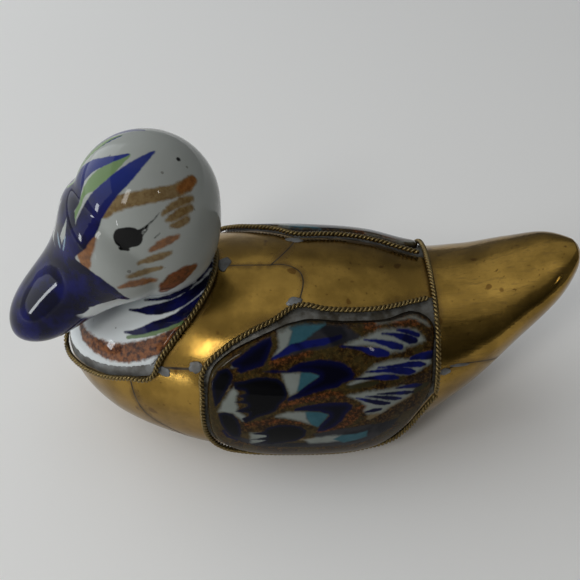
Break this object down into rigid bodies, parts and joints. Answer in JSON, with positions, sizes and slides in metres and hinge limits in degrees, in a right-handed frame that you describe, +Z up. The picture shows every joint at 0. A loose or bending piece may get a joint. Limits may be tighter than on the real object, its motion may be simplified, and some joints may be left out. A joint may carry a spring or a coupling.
{
  "type": "duck figurine",
  "caption": "Ornamental duck of soldered sheet brass with a glazed painted ceramic head, breast and wing tiles, edged with twisted brass wire; stands on a flat base.",
  "frame": {"origin": "middle of the flat base, on the face the duck rests on", "axes": "+Z up, the duck faces -X with its tail towards +X, and its left side faces -Y"},
  "size_m": [0.1654, 0.0786, 0.0981],
  "materials": {
    "glaze": "clear gloss glaze over hand-painted cobalt, teal, green, ochre and brown on a pale grey-white ground",
    "brass": "aged satin sheet brass, tarnished and scratched",
    "solder": "dull grey soft solder, uneven",
    "wire": "two-strand twisted brass wire, dark in its grooves"
  },
  "bodies": {
    "root": {"head_ceramic": "glaze", "wing_tile_left": "glaze", "wing_tile_right": "glaze", "breast_plate": "brass", "flank_plate_left": "brass", "flank_plate_right": "brass", "shoulder_plate_left": "brass", "shoulder_plate_right": "brass", "back_plate": "brass", "tail_plate": "brass", "base_plate": "brass", "neck_solder": "solder", "wing_solder_left": "solder", "wing_solder_right": "solder", "back_solder": "solder", "tail_solder": "solder", "flank_solder": "solder", "neck_rope": "wire", "wing_rope_left": "wire", "wing_rope_right": "wire", "tail_rope": "wire"}
  },
  "joints": []
}
